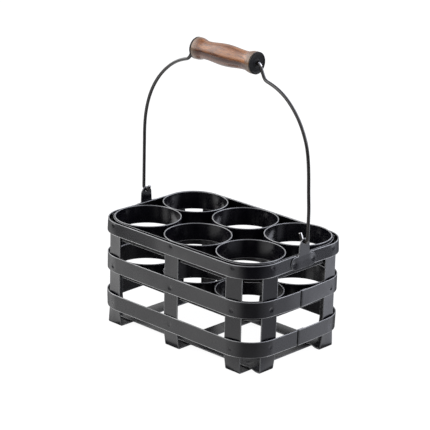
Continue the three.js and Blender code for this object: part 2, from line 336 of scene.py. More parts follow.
class Graph:
    """A node tree, with short ways to add nodes. Each returns an output socket of its node."""

    def __init__(self, tree):
        self.nodes = tree.nodes
        self.links = tree.links

    def feed(self, node, inputs):
        """Links inputs of a node to sockets, or sets them to numbers, vectors or colours."""
        for key, value in inputs.items():
            socket = node.inputs[key]
            if isinstance(value, bpy.types.NodeSocket):
                self.links.new(value, socket)
            elif socket.type == "RGBA":
                socket.default_value = (*value, 1.0)
            else:
                socket.default_value = value

    def add(self, kind, output, inputs, **settings):
        """A node of a kind, with settings and inputs."""
        node = self.nodes.new(f"ShaderNode{kind}")
        for name, setting in settings.items():
            setattr(node, name, setting)
        self.feed(node, inputs)
        return node.outputs[output]

    def math(self, operation, first, second=0.0):
        return self.add("Math", "Value", {0: first, 1: second}, operation=operation)

    def noise(self, place, scale, detail, roughness=0.5):
        inputs = {"Vector": place, "Scale": scale, "Detail": detail, "Roughness": roughness}
        return self.add("TexNoise", "Fac", inputs)

    def remap(self, value, low, high, start=0.3, end=0.7):
        """Maps a value from start..end, by default the usual range of noise, to low..high."""
        inputs = {"Value": value, "From Min": start, "From Max": end, "To Min": low, "To Max": high}
        return self.add("MapRange", "Result", inputs)

    def bump(self, height, strength, distance):
        return self.add("Bump", "Normal", {"Height": height, "Strength": strength, "Distance": distance})

    def stretch(self, place, scale):
        return self.add("Mapping", "Vector", {"Vector": place, "Scale": scale})

    def split(self, vector):
        return self.add("SeparateXYZ", "X", {"Vector": vector}).node.outputs

    def ramp(self, value, stops):
        """A colour ramp through (place, colour) stops."""
        color = self.add("ValToRGB", "Color", {"Fac": value})
        elements = color.node.color_ramp.elements
        while len(elements) < len(stops):
            elements.new(0.5)
        for element, (place, tone) in zip(elements, stops):
            element.position = place
            element.color = (*tone, 1.0)
        return color

    def mix(self, factor, first, second, blend="MIX"):
        """Blends two colours."""
        inputs = {0: factor, 6: first, 7: second}
        return self.add("Mix", 2, inputs, data_type="RGBA", blend_type=blend)


def new_material(name):
    """A material, its graph and its Principled shader."""
    material = bpy.data.materials.new(name)
    material.use_nodes = True
    graph = Graph(material.node_tree)
    graph.nodes.clear()
    output = graph.nodes.new("ShaderNodeOutputMaterial")
    shader = graph.nodes.new("ShaderNodeBsdfPrincipled")
    graph.links.new(shader.outputs["BSDF"], output.inputs["Surface"])
    return material, graph, shader


def black_coat(name, dark, light, specular):
    """Satin powder coat: fine orange peel, slightly uneven tone and gloss, light grey and metallic on the
    edges, where the paint is rubbed thin and where a highlight is painted.
    """
    material, graph, shader = new_material(name)
    place = graph.add("TexCoord", "Object", {})
    broad = graph.noise(place, scale=38.0, detail=3.0)
    fine = graph.noise(place, scale=900.0, detail=3.0, roughness=0.6)
    wear_and_highlight = graph.add("Attribute", "Fac", {}, attribute_name=WEAR_AND_HIGHLIGHT)
    share = graph.math("MULTIPLY", wear_and_highlight, graph.remap(broad, low=0.45, high=1.0))
    graph.feed(shader, {
        "Base Color": graph.mix(share, graph.ramp(broad, [(0.3, dark), (0.7, light)]), WORN_AND_HIGHLIGHT_TONE),
        "Metallic": share,
        "Specular IOR Level": specular,
        "Roughness": graph.remap(broad, low=0.2, high=0.28),
        "Normal": graph.bump(fine, strength=0.12, distance=0.0001),
    })
    return material


def bare_steel_and_highlight():
    """Cut wire ends, and the strips of painted highlight on the wire: bright, scratched metal."""
    material, graph, shader = new_material("bare_steel_and_highlight")
    place = graph.add("TexCoord", "Object", {})
    scratches = graph.noise(place, scale=2500.0, detail=4.0)
    graph.feed(shader, {
        "Base Color": graph.ramp(scratches, STEEL_TONES),
        "Metallic": 1.0,
        "Roughness": graph.remap(scratches, low=0.25, high=0.45),
    })
    return material


def cap_black():
    """Black satin plastic."""
    material, graph, shader = new_material("cap_black")
    place = graph.add("TexCoord", "Object", {})
    fine = graph.noise(place, scale=1300.0, detail=3.0, roughness=0.6)
    graph.feed(shader, {
        "Base Color": graph.ramp(fine, CAP_TONES),
        "Specular IOR Level": 0.12,
        "Roughness": graph.remap(fine, low=0.38, high=0.5),
        "Normal": graph.bump(fine, strength=0.15, distance=0.0001),
    })
    return material


def turned_wood():
    """Varnished brown hardwood: grain along the grip, a dark band along it that is partly figure and partly
    painted shade, paler ends.
    """
    material, graph, shader = new_material("turned_wood")
    to_axis = {"Vector": graph.add("TexCoord", "Object", {}), "Location": (0.0, 0.0, -GRIP_HEIGHT * MM)}
    place = graph.add("Mapping", "Vector", to_axis)
    figure = graph.noise(graph.stretch(place, (9.0, 85.0, 85.0)), scale=6.0, detail=6.0, roughness=0.62)
    pores = graph.noise(graph.stretch(place, (45.0, 700.0, 700.0)), scale=2.0, detail=3.0, roughness=0.6)
    blotches = graph.noise(graph.stretch(place, (30.0, 90.0, 90.0)), scale=1.0, detail=3.0)
    grain = graph.ramp(figure, WOOD_TONES)
    patchy = graph.mix(0.6, grain, graph.ramp(pores, PORE_TONES), "MULTIPLY")
    mottled = graph.mix(0.7, patchy, graph.ramp(blotches, BLOTCH_TONES), "MULTIPLY")

    parts = graph.split(place)
    angle = graph.math("ARCTAN2", parts["Z"], graph.math("MULTIPLY", parts["Y"], -1.0))
    sloped = graph.math("ADD", angle, graph.math("MULTIPLY", parts["X"], STREAK_FALL))
    wander = graph.math("ADD", sloped, graph.remap(figure, -STREAK_WANDER, STREAK_WANDER))
    streak_low, streak_high = STREAK_ANGLE - 2 * STREAK_HALF, STREAK_ANGLE + 2 * STREAK_HALF
    streak_and_shade = graph.ramp(graph.remap(wander, 0.0, 1.0, streak_low, streak_high), STREAK_AND_SHADE_TONES)
    streaked_and_shaded = graph.mix(1.0, mottled, streak_and_shade, "MULTIPLY")
    from_middle = graph.math("ABSOLUTE", parts["X"])
    end_share = graph.remap(from_middle, 0.0, END_PALE_SHARE, END_PALE_START * MM, END_PALE_FULL * MM)
    graph.feed(shader, {
        "Base Color": graph.mix(end_share, streaked_and_shaded, END_TONE),
        "Specular IOR Level": 0.5,
        "Roughness": graph.remap(blotches, low=0.24, high=0.32),
        "Normal": graph.bump(pores, strength=0.3, distance=0.00012),
    })
    return material


def add_object(name, data):
    thing = bpy.data.objects.new(name, data)
    bpy.context.scene.collection.objects.link(thing)
    return thing


def build_piece(name, vertices, faces, materials, body, sharp=40.0, material_of=None, wear_and_highlight=None):
    """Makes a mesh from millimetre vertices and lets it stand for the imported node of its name."""
    mesh = bpy.data.meshes.new(name)
    mesh.from_pydata([tuple(Vector(vertex) * MM) for vertex in vertices], [], faces)
    for material in materials:
        mesh.materials.append(material)
    work = bmesh.new()
    work.from_mesh(mesh)
    bmesh.ops.recalc_face_normals(work, faces=work.faces)
    for face in work.faces:
        face.smooth = True
        if material_of is not None:
            face.material_index = material_of(face.calc_center_median() / MM)
    work.to_mesh(mesh)
    work.free()
    mesh.set_sharp_from_angle(angle=radians(sharp))
    if wear_and_highlight is not None:
        attribute = mesh.attributes.new(WEAR_AND_HIGHLIGHT, "FLOAT", "POINT")
        attribute.data.foreach_set("value", wear_and_highlight)
    piece = add_object(f"{name}_finish", mesh)
    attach(piece, body)
    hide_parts(name)


def loft(rows, closed=False):
    """Vertices and faces of a skin over closed rows of points, with flat ends unless it closes."""
    count = len(rows[0])
    vertices = [point for row in rows for point in row]
    faces = []
    for i in range(len(rows) if closed else len(rows) - 1):
        start = i * count
        following = ((i + 1) % len(rows)) * count
        for j in range(count):
            after = (j + 1) % count
            faces.append((start + j, following + j, following + after, start + after))
    if not closed:
        faces.append(tuple(range(count)))
        faces.append(tuple(range(len(vertices) - 1, len(vertices) - 1 - count, -1)))
    return vertices, faces


def smooth_step(value, start, end):
    share = min(1.0, max(0.0, (value - start) / (end - start)))
    return share * share * (3 - 2 * share)


def spread(start, end, step, centres=()):
    """Places from start to end about one step apart, and closer round the centre of each weld mark."""
    count = max(1, round((end - start) / step))
    places = [start + (end - start) * i / count for i in range(1, count)]
    kept = [place for place in places if all(abs(place - centre) >= MARK_REACH for centre in centres)]
    steps = round(MARK_REACH / MARK_STEP)
    for centre in centres:
        places = [centre + MARK_REACH * i / steps for i in range(-steps, steps + 1)]
        kept += [place for place in places if start + MARK_STEP / 2 < place < end - MARK_STEP / 2]
    result = [start]
    for place in sorted(kept):
        if place - result[-1] > MARK_MERGE:
            result.append(place)
    return result + [end]


def quarter_round(radius):
    """Points of a rounded corner by their distances from its two sides, (radius, 0) to (0, radius)."""
    turns = [pi / 2 * i / EDGE_STEPS for i in range(EDGE_STEPS + 1)]
    return [(radius * (1 - sin(turn)), radius * (1 - cos(turn))) for turn in turns]


def face_widths(low, high, edge, step, centres=()):
    """Widths of the rows on a strip's faces, with a support row beside each rounded edge."""
    inner = spread(low + edge + edge / 2, high - edge - edge / 2, step, centres)
    return [low + edge, *inner, high - edge]


def strip_section(thick, low, high, edge, widths, inset):
    """Rounded cross-section of flat strip as (depth, width, side, edge flag) points; the flag marks the
    points of the rounded edges, which take rubbed paint and a painted highlight.

    Depth is 0 on the first face, where side is 1, and thick on the other, where side is -1.
    """
    near, far = inset, thick - inset
    bottom, top = low + inset, high - inset
    radius = max(0.0, edge - inset)
    edges = (widths[0], widths[-1])
    rounds = quarter_round(radius)[1:-1]
    over = [(near + across, along) for along, across in rounds]
    over += [(near + radius, 0.0), (far - radius, 0.0)]
    over += [(far - across, along) for along, across in reversed(rounds)]
    points = [(near, width, 1, width in edges) for width in widths]
    points += [(depth, top - along, 0, True) for depth, along in over]
    points += [(far, width, -1, width in edges) for width in reversed(widths)]
    return points + [(depth, bottom + along, 0, True) for depth, along in reversed(over)]


def rounded_ends(places, edge):
    """Adds rows at both ends of a strip so that its cut ends are rounded: (place, inset) pairs."""
    rounds = quarter_round(edge)
    start, end = places[0], places[-1]
    first = [(start + shift, inset) for shift, inset in reversed(rounds)]
    middle = [(place, 0.0) for place in places if start + edge < place < end - edge]
    return first + middle + [(end - shift, inset) for shift, inset in rounds]


def weld_dent(marks, share=1.0):
    """Depth of the weld marks at a place on a face."""
    def depth(place, width):
        total = 0.0
        for mark_place, mark_width in marks:
            distance = hypot(place - mark_place, width - mark_width)
            if distance < HOLLOW_END:
                total += MARK_DEPTH * exp(-((distance / MARK_RADIUS) ** 4))
                total += HOLLOW_DEPTH * exp(-((distance / HOLLOW_RADIUS) ** 2))
        return total * share
    return depth


def no_dent(place, width):
    return 0.0


def make_strip(name, coat, section, places, locate, wear_and_highlight_at, outer=no_dent, inner=no_dent, closed=False):
    """Leads a strip through its places, with rounded cut ends unless it closes.

    section is (thick, low, high, edge, widths), locate gives the point at (place, depth, width), the
    argument after locate the value on the edges for rubbed paint and a painted highlight, and outer and
    inner the dents in the two faces.
    """
    stations = [(place, 0.0) for place in places[:-1]] if closed else rounded_ends(places, section[3])
    rows = []
    wear_and_highlight = []
    for place, inset in stations:
        row = []
        for depth, width, side, worn_and_highlit in strip_section(*section, inset):
            if side > 0:
                depth += outer(place, width)
            elif side < 0:
                depth -= inner(place, width)
            row.append(locate(place, depth, width))
            wear_and_highlight.append(CUT_END_WEAR_AND_HIGHLIGHT if inset > 0 else wear_and_highlight_at(place, width) if worn_and_highlit else 0.0)
        rows.append(row)
    vertices, faces = loft(rows, closed)
    build_piece(name, vertices, faces, [coat], "rack", wear_and_highlight=wear_and_highlight)


def bow_at(place, bow):
    """How far a bowed short side of a band stands out at a distance from its middle, along the band."""
    share = place / BOW_HALF_LENGTH
    return bow * max(0.0, 1 - share * share) ** BOW_POWER


def bow_slope(place, bow):
    return (bow_at(place + SLOPE_STEP, bow) - bow_at(place - SLOPE_STEP, bow)) / (2 * SLOPE_STEP)


class Loop:
    """A band's outer face in plan, walked anticlockwise from a place on its right short side."""

    def __init__(self, half_x, half_y, corner, bow=0.0, start_y=0.0):
        self.half_x = half_x
        self.half_y = half_y
        self.corner = corner
        self.bow = bow
        self.run_x = half_x - corner
        self.run_y = half_y - corner
        self.start_y = start_y
        quarter = pi / 2 * corner
        self.legs = [
            self.run_y - start_y, quarter, 2 * self.run_x, quarter,
            2 * self.run_y, quarter, 2 * self.run_x, quarter, self.run_y + start_y,
        ]
        self.length = sum(self.legs)

    def at(self, place):
        """The point and the outward normal at a distance along the loop, with the bow."""
        point, normal = self.flat_at(place)
        from_right = (place + self.start_y + self.length / 2) % self.length - self.length / 2
        from_left = self.length / 2 - abs(from_right)
        along = from_right if abs(from_right) < from_left else copysign(from_left, -from_right)
        ahead = Vector((-normal.y, normal.x, 0.0))
        bowed = normal - ahead * bow_slope(along, self.bow)
        return point + normal * bow_at(along, self.bow), bowed.normalized()

    def flat_at(self, place):
        """The point and the outward normal at a distance along the loop, without the bow."""
        place %= self.length
        index = 0
        while index < len(self.legs) - 1 and place > self.legs[index]:
            place -= self.legs[index]
            index += 1
        quarter = index // 2
        if index % 2 == 1:
            side_x, side_y = ((1, 1), (-1, 1), (-1, -1), (1, -1))[quarter]
            angle = quarter * pi / 2 + place / self.corner
            normal = Vector((cos(angle), sin(angle), 0.0))
            return Vector((side_x * self.run_x, side_y * self.run_y, 0.0)) + normal * self.corner, normal
        normal = Vector(((1, 0, 0), (0, 1, 0), (-1, 0, 0), (0, -1, 0))[quarter % 4])
        half, run = (self.half_x, self.run_y) if quarter % 2 == 0 else (self.half_y, self.run_x)
        along = place + (self.start_y if index == 0 else -run)
        return normal * half + Vector((-normal.y, normal.x, 0.0)) * along, normal

    def nearest(self, x, y):
        """The place along the loop whose point is nearest to (x, y)."""
        target = Vector((x, y, 0.0))
        places = [self.length * i / NEAREST_STEPS for i in range(NEAREST_STEPS)]
        return min(places, key=lambda place: (self.at(place)[0] - target).length)


def band_inside(along, half_along, half_across):
    """Distance to the line that a strap may touch inside the bands, at a place along them."""
    radius = BAND_CORNER - BAND_THICK - STRAP_SEAT_GAP
    beyond = max(0.0, along - (half_along - BAND_CORNER))
    return half_across - BAND_CORNER + sqrt(radius * radius - beyond * beyond)


def leg_seat(offset, half_along, half_across):
    """Middle and turn of a strap's flat leg, which lies as a chord inside the bands."""
    near = offset - STRAP_WIDTH / 2
    near_across = band_inside(near, half_along, half_across)
    turn = 0.0
    for _ in range(SEAT_PASSES):
        far = near + STRAP_WIDTH * cos(turn)
        turn = asin((near_across - band_inside(far, half_along, half_across)) / STRAP_WIDTH)
    along = near + STRAP_WIDTH / 2 * cos(turn)
    return along, near_across - STRAP_WIDTH / 2 * sin(turn), turn


CROSS_SEAT = leg_seat(CROSS_STRAP_OFFSET, BAND_HALF_X, BAND_HALF_Y)
LONG_SEAT = leg_seat(LONG_STRAP_OFFSET, BAND_HALF_Y, BAND_HALF_X)


def make_band(name, coat):
    low, high = box_mm(name)[0].z, box_mm(name)[1].z
    loop = Loop(BAND_HALF_X, BAND_HALF_Y, BAND_CORNER, BAND_BOWS[name], SEAM_PLACES[name])
    middle = (low + high) / 2
    lapped = name != "band_top"
    long_height = middle + MARK_LIFTS_LONG[name]
    short_height = middle + MARK_LIFTS_SHORT[name]
    lean = tan(radians(BAND_LEANS[name]))
    phase = BAND_PHASES[name]
    spots = [(x * CROSS_SEAT[0], y * BAND_HALF_Y, long_height) for x in (-1, 0, 1) for y in (-1, 1)]
    spots += [(x * BAND_HALF_X, y * LONG_SEAT[0], short_height) for x in (-1, 1) for y in (-1, 1)]
    marks = [(loop.nearest(x, y), height) for x, y, height in spots]
    start = SEAM_WIDTH / 2
    end = loop.length - SEAM_WIDTH / 2

    def locate(place, depth, width):
        point, normal = loop.at(place)
        wave = sin(place / WAVE_MIDDLE + phase) + sin(place / WAVE_LONG + 2 * phase)
        wave += WAVE_SHORT_SHARE * sin(place / WAVE_SHORT + width / WAVE_ACROSS + phase)
        offset = BAND_WAVE * wave * min(1.0, place / WAVE_FADE, abs(loop.length - place) / WAVE_FADE)
        if lapped:
            dive = smooth_step(place, end - LAP_DIVE / 2, end + LAP_DIVE / 2)
            offset -= (BAND_THICK + LAP_GAP) * dive
        leaning = max(smooth_step(abs(point.x), *LEAN_RANGE), smooth_step(-point.x, *LEFT_LEAN_RANGE))
        offset -= (width - middle) * lean * leaning
        at = point + normal * (offset - depth)
        rise = 0.0 if lapped else TOP_BAND_LIFT * smooth_step(point.x, *LIFT_RANGE)
        return Vector((at.x, at.y, width + rise))

    # Rubbed paint and a painted highlight on the edges: more on the lower edges than on the upper, less
    # round the corners.
    def wear_and_highlight_at(place, width):
        if width > middle:
            return UPPER_EDGE_WEAR_AND_HIGHLIGHT
        normal = loop.at(place)[1]
        cornering = smooth_step(min(abs(normal.x), abs(normal.y)), *CORNER_RANGE)
        return LOWER_EDGE_WEAR_AND_HIGHLIGHT + (CORNER_EDGE_WEAR_AND_HIGHLIGHT - LOWER_EDGE_WEAR_AND_HIGHLIGHT) * cornering

    last = end + LAP_LENGTH if lapped else end
    places = spread(start, last, BAND_STEP, [place for place, _ in marks])
    if lapped:
        places = [place for place in places if not end - LAP_DIVE < place < end + LAP_DIVE]
        places += [end - LAP_DIVE + 2 * LAP_DIVE * i / LAP_STEPS for i in range(LAP_STEPS + 1)]
        places.sort()
    widths = face_widths(low, high, BAND_EDGE, BAND_ROW_STEP, [long_height, short_height])
    section = (BAND_THICK, low, high, BAND_EDGE, widths)
    make_strip(name, coat, section, places, locate, wear_and_highlight_at, weld_dent(marks, MARK_SHARES[name]))


def make_liner(level, coat):
    name = f"liner_{level}"
    low, high = box_mm(name)
    corner = high.y - box_mm(f"ring_{level}_5")[1].y + RING_RADIUS
    loop = Loop(high.x, high.y, corner)
    bottom = low.z + LINER_TRIMS[level]
    top = high.z - LINER_DROPS[level]
    middle = (low.z + high.z) / 2

    def locate(place, depth, width):
        point, normal = loop.at(place)
        at = point - normal * depth
        return Vector((at.x, at.y, width))

    section = (LINER_THICK, bottom, top, LINER_EDGE, face_widths(bottom, top, LINER_EDGE, LINER_ROW_STEP))
    wear_and_highlight_at = lambda place, width: LOWER_EDGE_WEAR_AND_HIGHLIGHT if width < middle else UPPER_EDGE_WEAR_AND_HIGHLIGHT
    make_strip(name, coat, section, spread(0.0, loop.length, LINER_STEP), locate, wear_and_highlight_at, closed=True)


def make_ring(level, number, coat):
    low, high = box_mm(f"ring_{level}_{number}")
    centre = (low + high) / 2
    top_rise, bottom_rise = RING_RISES.get(f"{level}_{number}", (0.0, 0.0))
    bottom, top = low.z + bottom_rise, high.z + top_rise
    inside = RING_RADIUS - RING_THICK
    around = 2 * pi * inside
    marks = [(around * quarter / 4, centre.z) for quarter in range(5)]

    def locate(place, depth, width):
        angle = place / inside
        radius = inside + depth
        return Vector((centre.x + radius * cos(angle), centre.y + radius * sin(angle), width))

    widths = face_widths(bottom, top, RING_EDGE, RING_ROW_STEP, [centre.z])
    section = (RING_THICK, bottom, top, RING_EDGE, widths)
    places = spread(0.0, around, around / RING_SIDES, [place for place, _ in marks])
    wear_and_highlight_at = lambda place, width: UPPER_EDGE_WEAR_AND_HIGHLIGHT
    dent = weld_dent(marks, RING_MARK_SHARE)
    make_strip(f"ring_{level}_{number}", coat, section, places, locate, wear_and_highlight_at, dent, closed=True)


def make_strap(name, offset, foot_half, half_along, half_across, coat, lift=0.0, crossings=(), turned=False):
    """A U-shaped strap across Y at x = offset, or along X if turned."""
    middle, across_seat, seat_turn = leg_seat(abs(offset), half_along, half_across)
    side = -1 if offset < 0 else 1
    floor_run = foot_half - STRAP_BEND
    bend_end = floor_run + pi / 2 * STRAP_BEND
    turn_end = bend_end + LEG_TURN_END
    step_end = floor_run - STEP_START
    step_start = step_end - STEP_LENGTH
    lift_at = lambda run: lift * (1 - smooth_step(run, step_start, step_end))

    def spine(run):
        """Across, height and tilt of the outer face at a distance from the strap's middle."""
        if run < floor_run:
            slope = (lift_at(run + SLOPE_STEP) - lift_at(run)) / SLOPE_STEP
            return run, lift_at(run), atan(slope)
        if run < bend_end:
            tilt = (run - floor_run) / STRAP_BEND
            return floor_run + STRAP_BEND * sin(tilt), STRAP_BEND * (1 - cos(tilt)), tilt
        return foot_half, STRAP_BEND + run - bend_end, pi / 2

    def locate(place, depth, width):
        across, height, tilt = spine(abs(place))
        end = -1 if place < 0 else 1
        rise = min(1.0, max(0.0, (height - LEG_TURN_START) / (LEG_TURN_END - LEG_TURN_START)))
        turn = seat_turn * rise
        base = abs(offset) + (middle - abs(offset)) * rise
        inward = depth * sin(tilt)
        x = base + width * cos(turn) - inward * sin(turn)
        lean = (across_seat - foot_half) * rise
        y = across + lean - width * sin(turn) - inward * cos(turn)
        z = height + depth * cos(tilt)
        if turned:
            return Vector((-end * y, side * x, z))
        return Vector((side * x, end * y, z))

    heights = [sum(corner.z for corner in box_mm(band)) / 2 for band in BAND_NAMES]
    leg_marks = [bend_end + height - STRAP_BEND for height in heights]
    half = spread(0.0, step_start if lift else floor_run, STRAP_STEP, [c for c in crossings if c >= 0])[:-1]
    if lift:
        half += spread(step_start, floor_run, STEP_FINE)[:-1]
    half += spread(floor_run, bend_end, BEND_FINE)[:-1]
    half += spread(bend_end, turn_end, TURN_FINE)[:-1]
    half += spread(turn_end, bend_end + STRAP_TOP - STRAP_BEND, STRAP_STEP, leg_marks)
    places = [-place for place in reversed(half) if place > 0] + half
    dent = weld_dent([(place, 0.0) for place in [*leg_marks, *(-mark for mark in leg_marks), *crossings]])
    half_width = STRAP_WIDTH / 2
    widths = face_widths(-half_width, half_width, STRAP_EDGE, STRAP_ROW_STEP, [0.0])
    section = (STRAP_THICK, -half_width, half_width, STRAP_EDGE, widths)
    wear_and_highlight_at = lambda place, width: FOOT_WEAR_AND_HIGHLIGHT if abs(place) < turn_end else STRAP_WEAR_AND_HIGHLIGHT
    make_strip(name, coat, section, places, locate, wear_and_highlight_at, inner=dent)


def arc(centre, radius, start, end, step=EAR_ARC_STEP):
    """Points on an arc in the YZ plane, with both ends. Angles are in degrees."""
    count = max(2, ceil(abs(radians(end - start)) * radius / step))
    angles = [radians(start + (end - start) * i / count) for i in range(count + 1)]
    return [(centre[0] + radius * cos(a), centre[1] + radius * sin(a)) for a in angles]


def fill_edges(points):
    """Adds points along a closed outline so that none are further apart than a step."""
    result = []
    for (y0, z0), (y1, z1) in zip(points, points[1:] + points[:1]):
        length = hypot(y1 - y0, z1 - z0)
        if length > TINY:
            count = ceil(length / EAR_SIDE_STEP)
            result += [(y0 + (y1 - y0) * i / count, z0 + (z1 - z0) * i / count) for i in range(count)]
    return result


def ear_outline(top):
    """Outline of the ear plate in the YZ plane, anticlockwise: base, tab and the fillets between."""
    radius = (EAR_BASE_HIGH - EAR_BASE_LOW) / 2
    base_end = EAR_BASE_WIDTH / 2 - radius
    tab = EAR_TAB_HIGH_WIDTH / 2
    fillet = EAR_FOOT_FILLET
    fillet_y = EAR_TAB_LOW_WIDTH / 2 + fillet
    points = arc((base_end, EAR_BASE_MIDDLE), radius, -90, 90)
    points += arc((fillet_y, EAR_BASE_HIGH + fillet), fillet, 270, 180, EAR_FILLET_STEP)
    points += arc((0.0, top - tab), tab, 0, 180)
    points += arc((-fillet_y, EAR_BASE_HIGH + fillet), fillet, 0, -90, EAR_FILLET_STEP)
    points += arc((-base_end, EAR_BASE_MIDDLE), radius, 90, 270)
    return fill_edges(points)


def edge_distance(points, loops):
    """Distance from each point to the nearest segment of the loops."""
    result = np.full(len(points), np.inf)
    for loop in loops:
        start = np.array(loop)
        along = np.roll(start, -1, axis=0) - start
        length = (along ** 2).sum(axis=1)
        offset = points[:, None, :] - start[None, :, :]
        share = np.clip((offset * along).sum(axis=2) / length, 0, 1)
        gap = offset - share[:, :, None] * along
        result = np.minimum(result, np.sqrt((gap ** 2).sum(axis=2)).min(axis=1))
    return result


def on_plate(points, loops):
    """Whether each point lies inside the outline and outside the hole, which are the loops."""
    inside = np.zeros(len(points), bool)
    for loop in loops:
        for (y0, z0), (y1, z1) in zip(loop, loop[1:] + loop[:1]):
            crosses = (z0 > points[:, 1]) != (z1 > points[:, 1])
            if crosses.any():
                inside ^= crosses & (points[:, 0] < y0 + (points[:, 1] - z0) / (z1 - z0) * (y1 - y0))
    return inside


def plate_points(loops):
    """Points of a flat plate: its loops, rows beside them for the rounded edge, and a grid."""
    points = [*loops[0], *loops[1]]
    for loop in loops:
        array = np.array(loop)
        tangent = np.roll(array, -1, axis=0) - np.roll(array, 1, axis=0)
        normal = np.stack([-tangent[:, 1], tangent[:, 0]], axis=1)
        normal /= np.linalg.norm(normal, axis=1)[:, None]
        for share in EAR_ROW_SHARES:
            row = array + normal * EAR_EDGE * share
            distance = edge_distance(row, loops)
            points += [tuple(p) for p, d in zip(row, distance) if d > EAR_EDGE * share * EAR_ROW_CLEAR]
    low, high = np.min(loops[0], axis=0), np.max(loops[0], axis=0)
    grid = np.meshgrid(np.arange(low[0], high[0], EAR_GRID), np.arange(low[1], high[1], EAR_GRID))
    spots = np.stack([axis.ravel() for axis in grid], axis=1)
    clear = edge_distance(spots, loops) > EAR_EDGE * EAR_ROW_SHARES[-1] + EAR_GRID / 2
    return points + [tuple(p) for p in spots[on_plate(spots, loops) & clear]]


def plate_triangles(loops):
    """Spots of a plate with a hole and the triangles between them."""
    spans = [(0, len(loops[0])), (len(loops[0]), len(loops[1]))]
    edges = [(first + i, first + (i + 1) % count) for first, count in spans for i in range(count)]
    points = [Vector(point) for point in plate_points(loops)]
    found = delaunay_2d_cdt(points, edges, [], 0, TINY)
    spots = np.array([tuple(point) for point in found[0]])
    centres = np.array([spots[list(face)].mean(axis=0) for face in found[2]])
    kept = on_plate(centres, loops)
    return spots, [tuple(face) for face, keep in zip(found[2], kept) if keep]


def make_ear(name, side, coat):
    outline = ear_outline(EAR_TOP - LEFT_EAR_TRIM if side < 0 else EAR_TOP)
    hole = arc((0.0, HINGE_HEIGHT), EAR_HOLE_RADIUS, 0, 360)[:-1]
    loops = (outline, hole[::-1])
    spots, triangles = plate_triangles(loops)
    distance = edge_distance(spots, loops)
    dent = weld_dent([(-EAR_MARK_Y, EAR_BASE_MIDDLE), (EAR_MARK_Y, EAR_BASE_MIDDLE)])
    band_lean = tan(radians(BAND_LEANS["band_top"]))
    tab_lean = tan(radians(EAR_TAB_LEAN))
    vertices = []
    wear_and_highlight = []
    for front in (True, False):
        for (y, z), gap in zip(spots, distance):
            short = max(0.0, EAR_EDGE - gap)
            rounding = EAR_EDGE - sqrt(EAR_EDGE * EAR_EDGE - short * short)
            inner = BAND_HALF_X + bow_at(y, BAND_BOWS["band_top"]) + EAR_SEAT
            inner -= band_lean * (min(z, EAR_BASE_HIGH) - EAR_BASE_MIDDLE)
            inner += tab_lean * max(0.0, z - EAR_BASE_MIDDLE - EAR_THICK)
            thin = EAR_END_THIN * smooth_step(abs(y), EAR_TAB_LOW_WIDTH / 2, EAR_BASE_WIDTH / 2)
            depth = EAR_THICK - thin - rounding - dent(y, z) if front else rounding
            vertices.append((side * (inner + depth), y, z))
            wear_and_highlight.append(UPPER_EDGE_WEAR_AND_HIGHLIGHT if short > EAR_WORN_AND_HIGHLIT_INSET else 0.0)
    count = len(spots)
    faces = triangles + [tuple(count + i for i in reversed(face)) for face in triangles]
    sides = dict.fromkeys((a, b) for face in triangles for a, b in zip(face, face[1:] + face[:1]))
    faces += [(b, a, count + a, count + b) for a, b in sides if (b, a) not in sides]
    build_piece(name, vertices, faces, [coat], "rack", sharp=60.0, wear_and_highlight=wear_and_highlight)


def walk(start_x, start_z, heading, moves):
    """Walks a line in the XZ plane. A move is (length,) or (turn, radius, steps)."""
    x, z, angle = start_x, start_z, radians(heading)
    points = [(x, z, angle)]
    for move in moves:
        turn, radius, steps = move if len(move) == 3 else (0.0, 0.0, max(1, round(move[0] / WIRE_STEP)))
        bend = radians(turn) / steps
        stride = 2 * radius * sin(abs(bend) / 2) if turn else move[0] / steps
        for _ in range(steps):
            angle += bend / 2
            x += stride * cos(angle)
            z += stride * sin(angle)
            angle += bend / 2
            points.append((x, z, angle))
    return points


def bail_half(rise):
    """Half of the bail from the tail's end to the grip's axis, as (x, z, heading)."""
    lean = radians(TAIL_LEAN)
    tail_x = TAIL_X - rise * tan(lean)
    tail_top = TAIL_TOP + rise
    tail_rise = tail_top - HINGE_HEIGHT - TAIL_BEND * (1 - sin(lean))
    tail_width = tail_rise * tan(lean) + TAIL_BEND * cos(lean)
    return walk(tail_x, tail_top, TAIL_LEAN - 90, [
        (tail_rise / cos(lean),),
        (90 - TAIL_LEAN, TAIL_BEND, TAIL_STEPS),
        (LEG_X - HOOK_BEND - tail_x - tail_width,),
        HOOK,
        (LEG_TOP - HINGE_HEIGHT - HOOK_BEND,),
        HIP,
        SHOULDER,
        (SHOULDER_RUN,),
        NECK,
        (NECK_RUN,),
        ROOT,
    ])


def bump(value, middle, reach):
    return max(0.0, 1 - ((value - middle) / reach) ** 2) ** 2


def uneven(places, out_bumps, up_bumps, neck_rise):
    """Shifts the places on half of the wire as a bend by hand leaves them."""
    result = []
    for x, z, heading in places:
        for middle, reach, shift in out_bumps:
            share = shift * bump(z, middle, reach)
            x += share * sin(heading)
            z -= share * cos(heading)
        neck = smooth_step(x, *NECK_RISE_RANGE) * (1 - smooth_step(x, *NECK_FADE_RANGE))
        rise = neck_rise * neck + sum(shift * bump(x, middle, reach) for middle, reach, shift in up_bumps)
        result.append((x, z + rise, heading))
    return result


def wire_side(tail_rise, out_bumps, up_bumps, neck_rise):
    """Stations of one side of the wire as (x, z, heading, radius), with a rounded end."""
    places = uneven(bail_half(tail_rise), out_bumps, up_bumps, neck_rise)
    x, z, heading = places[0]
    ends = [
        (x + back * cos(heading), z + back * sin(heading), heading, WIRE_RADIUS - inset)
        for back, inset in reversed(quarter_round(WIRE_END_EDGE))
    ]
    return ends + [(*place, WIRE_RADIUS) for place in places[1:-1]]


